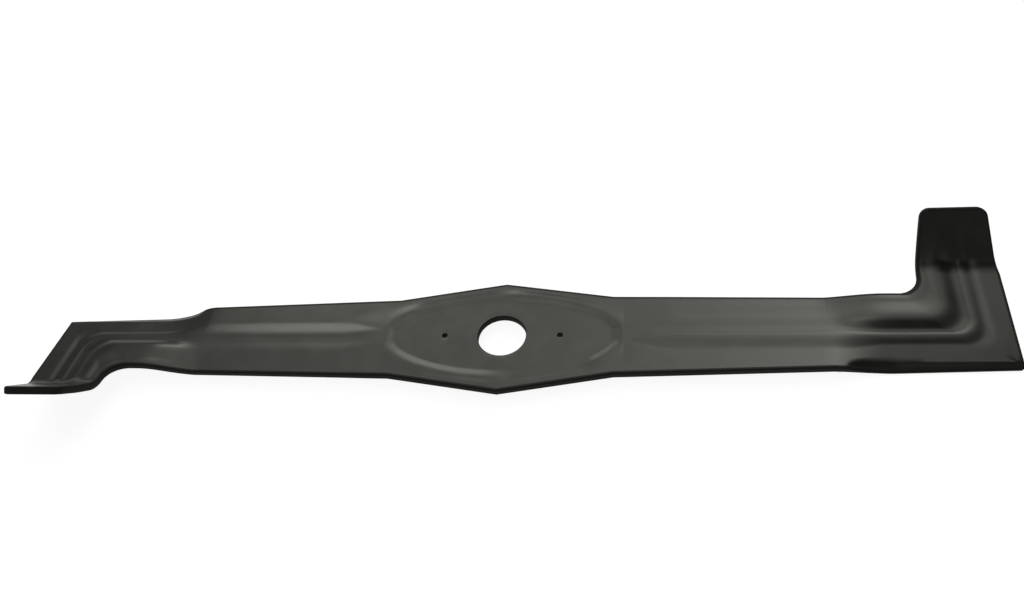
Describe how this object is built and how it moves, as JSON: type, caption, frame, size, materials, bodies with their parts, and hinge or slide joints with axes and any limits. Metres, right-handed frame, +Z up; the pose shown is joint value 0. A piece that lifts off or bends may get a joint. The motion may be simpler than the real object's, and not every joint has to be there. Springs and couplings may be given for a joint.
{
  "type": "rotary mower blade",
  "caption": "Flat pressed steel mower blade with a lens-shaped hub, a round centre bore, tapering arms, twisted cutting tips and upturned sails.",
  "frame": {"origin": "centre of the bore, on the upper face of the hub's floor", "axes": "+X along the blade, +Z up along the bore's axis, with the sails rising to +Z and the leading edge of the tip on +X facing -Y"},
  "size_m": [0.4988, 0.1122, 0.0405],
  "materials": {
    "blade_steel": "dark grey satin coating over pressed steel plate"
  },
  "bodies": {
    "root": {"blade": "blade_steel"}
  },
  "joints": []
}
